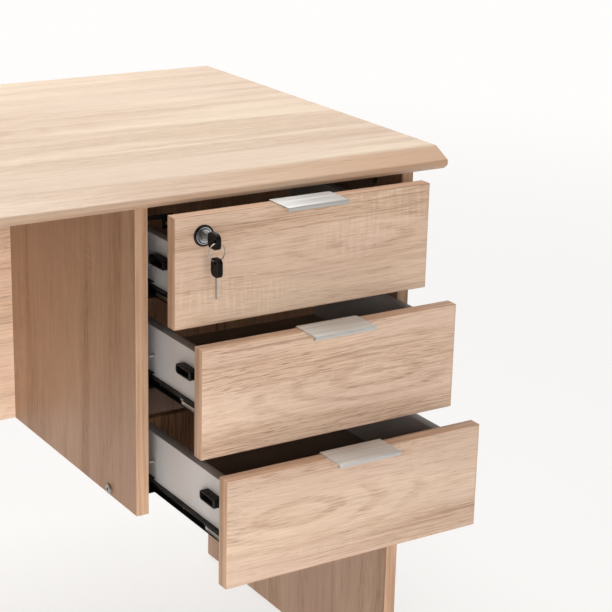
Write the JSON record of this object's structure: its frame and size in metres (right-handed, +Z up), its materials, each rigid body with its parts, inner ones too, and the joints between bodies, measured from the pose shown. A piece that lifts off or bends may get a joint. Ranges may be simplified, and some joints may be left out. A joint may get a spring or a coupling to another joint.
{
  "type": "pedestal desk",
  "caption": "Oak-decor office desk on panel legs with a hung drawer pedestal, lip handles, ball slides, and a key-operated central lock.",
  "frame": {"origin": "on the floor, at the centre of the desk's bounding box as stored, with its drawers standing part open as pictured", "axes": "+X along the desk to the sitter's right, +Y from the sitter to the back, +Z up"},
  "size_m": [1.2, 0.7764, 0.75],
  "materials": {
    "oak_desktop": "light oak decor, satin, grain along the length",
    "oak_panels": "light oak decor, satin, grain upright",
    "oak_fronts": "light oak decor, satin, grain level",
    "grey_board": "light grey melamine, satin",
    "base_board": "thin brown hardboard, satin",
    "handle_aluminium": "brushed and anodised",
    "black_steel": "black zinc coating, satin",
    "bright_steel": "bright zinc coated",
    "zinc_fittings": "die-cast zinc, dull",
    "chrome_lock": "polished",
    "black_plastic": "moulded, fine texture",
    "beech_dowel": "fluted beech"
  },
  "bodies": {
    "desk": {"desktop": "oak_desktop", "left_end_panel": "oak_panels", "right_end_panel": "oak_panels", "inner_panel": "oak_panels", "modesty_panel": "oak_panels", "pedestal_back_panel": "oak_panels", "bottom_rail": "oak_panels", "cam_discs": "zinc_fittings", "cam_bolts": "zinc_fittings", "dowels": "beech_dowel", "floor_glides": "black_plastic", "connector_bolt": "zinc_fittings", "barrel_nut": "zinc_fittings", "slide_packers": "black_plastic", "top_carcass_slides": "black_steel", "slide_screws": "bright_steel", "middle_carcass_slides": "black_steel", "bottom_carcass_slides": "black_steel", "lock_bar_guides": "black_plastic"},
    "top_drawer": {"top_drawer_front": "oak_fronts", "top_drawer_left_side": "grey_board", "top_drawer_right_side": "grey_board", "top_drawer_back": "oak_panels", "top_drawer_base": "base_board", "top_drawer_handle": "handle_aluminium", "top_drawer_catch": "black_plastic", "top_drawer_runners": "black_steel", "top_drawer_fasteners": "bright_steel", "lock_housing": "chrome_lock", "lock_rosette": "chrome_lock"},
    "top_cages": {"top_ball_cages": "bright_steel"},
    "middle_drawer": {"middle_drawer_front": "oak_fronts", "middle_drawer_left_side": "grey_board", "middle_drawer_right_side": "grey_board", "middle_drawer_back": "oak_panels", "middle_drawer_base": "base_board", "middle_drawer_handle": "handle_aluminium", "middle_drawer_catch": "black_plastic", "middle_drawer_runners": "black_steel", "middle_drawer_fasteners": "bright_steel"},
    "middle_cages": {"middle_ball_cages": "bright_steel"},
    "bottom_drawer": {"bottom_drawer_front": "oak_fronts", "bottom_drawer_left_side": "grey_board", "bottom_drawer_right_side": "grey_board", "bottom_drawer_back": "oak_panels", "bottom_drawer_base": "base_board", "bottom_drawer_handle": "handle_aluminium", "bottom_drawer_catch": "black_plastic", "bottom_drawer_runners": "black_steel", "bottom_drawer_fasteners": "bright_steel"},
    "bottom_cages": {"bottom_ball_cages": "bright_steel"},
    "lock_plug": {"lock_plug": "chrome_lock"},
    "key": {"key_blade": "bright_steel", "key_head": "black_plastic"},
    "key_ring": {"key_ring": "bright_steel"},
    "spare_key": {"spare_key_blade": "bright_steel", "spare_key_head": "black_plastic"},
    "lock_bar": {"lock_bar": "bright_steel", "lock_driver_arm": "bright_steel"}
  },
  "joints": [
    {"name": "top_drawer_slide", "type": "slide", "parent": "desk", "child": "top_drawer", "axis": [0, -1, 0], "range_m": [-0.042, 0.138]},
    {"name": "top_cage_roll", "type": "slide", "parent": "desk", "child": "top_cages", "axis": [0, -1, 0], "range_m": [-0.021, 0.069]},
    {"name": "middle_drawer_slide", "type": "slide", "parent": "desk", "child": "middle_drawer", "axis": [0, -1, 0], "range_m": [-0.105, 0.075]},
    {"name": "middle_cage_roll", "type": "slide", "parent": "desk", "child": "middle_cages", "axis": [0, -1, 0], "range_m": [-0.0525, 0.0375]},
    {"name": "bottom_drawer_slide", "type": "slide", "parent": "desk", "child": "bottom_drawer", "axis": [0, -1, 0], "range_m": [-0.162, 0.018]},
    {"name": "bottom_cage_roll", "type": "slide", "parent": "desk", "child": "bottom_cages", "axis": [0, -1, 0], "range_m": [-0.081, 0.009]},
    {"name": "key_turn", "type": "hinge", "parent": "top_drawer", "child": "lock_plug", "pos_m": [0.2435, -0.24325, 0.697], "axis": [0, 1, 0], "range_deg": [0, 90]},
    {"name": "key_withdraw", "type": "slide", "parent": "lock_plug", "child": "key", "axis": [0, -1, 0], "range_m": [0, 0.03]},
    {"name": "key_ring_swing", "type": "hinge", "parent": "key", "child": "key_ring", "pos_m": [0.2435, -0.27375, 0.69564], "axis": [1, 0, 0], "range_deg": [-45, 10]},
    {"name": "spare_key_swing", "type": "hinge", "parent": "key_ring", "child": "spare_key", "pos_m": [0.2435, -0.27375, 0.67524], "axis": [1, 0, 0], "range_deg": [-45, 10]},
    {"name": "lock_bar_lift", "type": "slide", "parent": "desk", "child": "lock_bar", "axis": [0, 0, 1], "range_m": [0, 0.008]}
  ],
  "couplings": [
    {"joint": "top_cage_roll", "follows": "top_drawer_slide", "ratio": 0.5},
    {"joint": "middle_cage_roll", "follows": "middle_drawer_slide", "ratio": 0.5},
    {"joint": "bottom_cage_roll", "follows": "bottom_drawer_slide", "ratio": 0.5},
    {"joint": "key_turn", "follows": "lock_bar_lift", "rad_per_m": 196.25}
  ]
}
